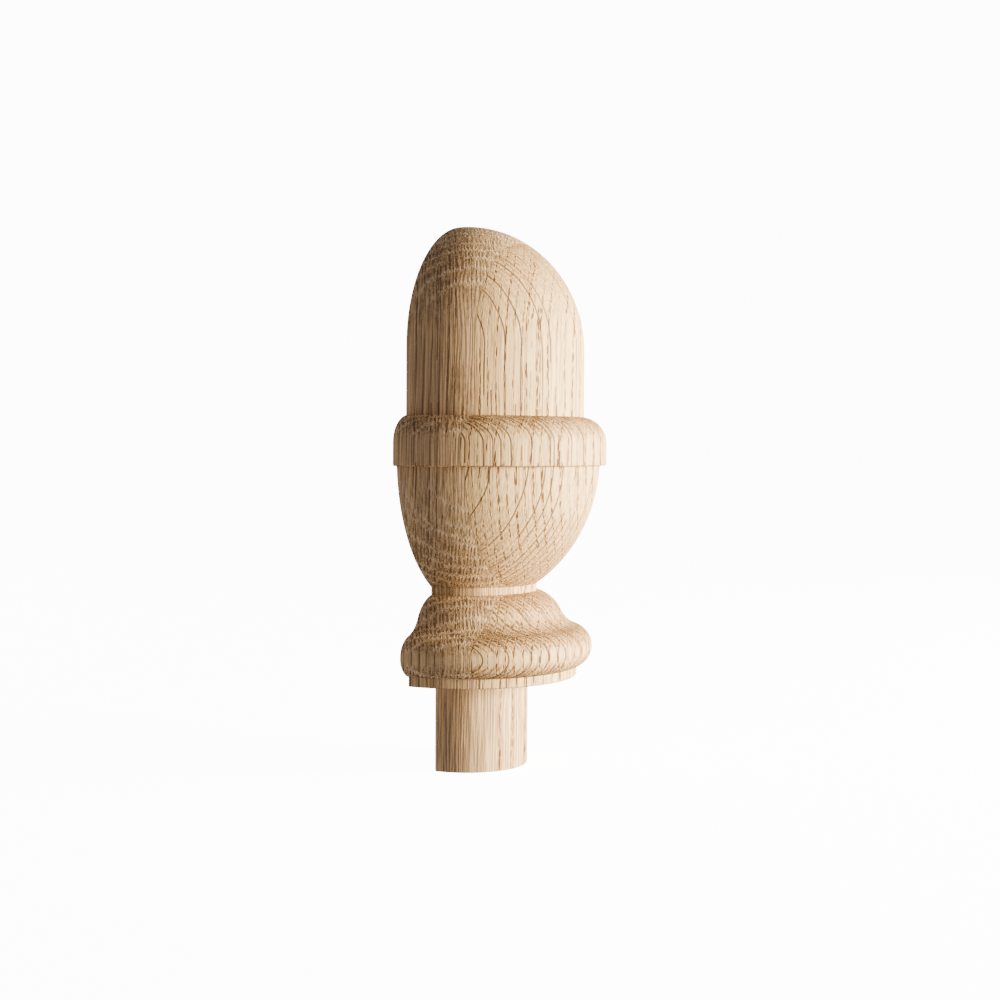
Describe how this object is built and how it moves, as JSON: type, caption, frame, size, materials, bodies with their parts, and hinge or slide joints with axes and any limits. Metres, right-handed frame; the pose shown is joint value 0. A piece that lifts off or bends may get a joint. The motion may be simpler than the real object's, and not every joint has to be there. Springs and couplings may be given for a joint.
{
  "type": "half acorn newel cap",
  "caption": "Turned oak acorn finial for a newel post, sawn in half lengthwise, with a flat back, a moulded base and a half-round spigot.",
  "frame": {"origin": "on the turning axis, in the plane of the sawn back, level with the shoulder that seats on the newel", "axes": "+Z along the turning axis, up to the tip of the acorn; +Y straight out of the sawn back, towards the wall; the round front bulges towards -Y"},
  "size_m": [0.08, 0.04, 0.1541],
  "materials": {
    "oak": "bare, turned and sanded"
  },
  "bodies": {
    "root": {"half_acorn_cap": "oak"}
  },
  "joints": []
}
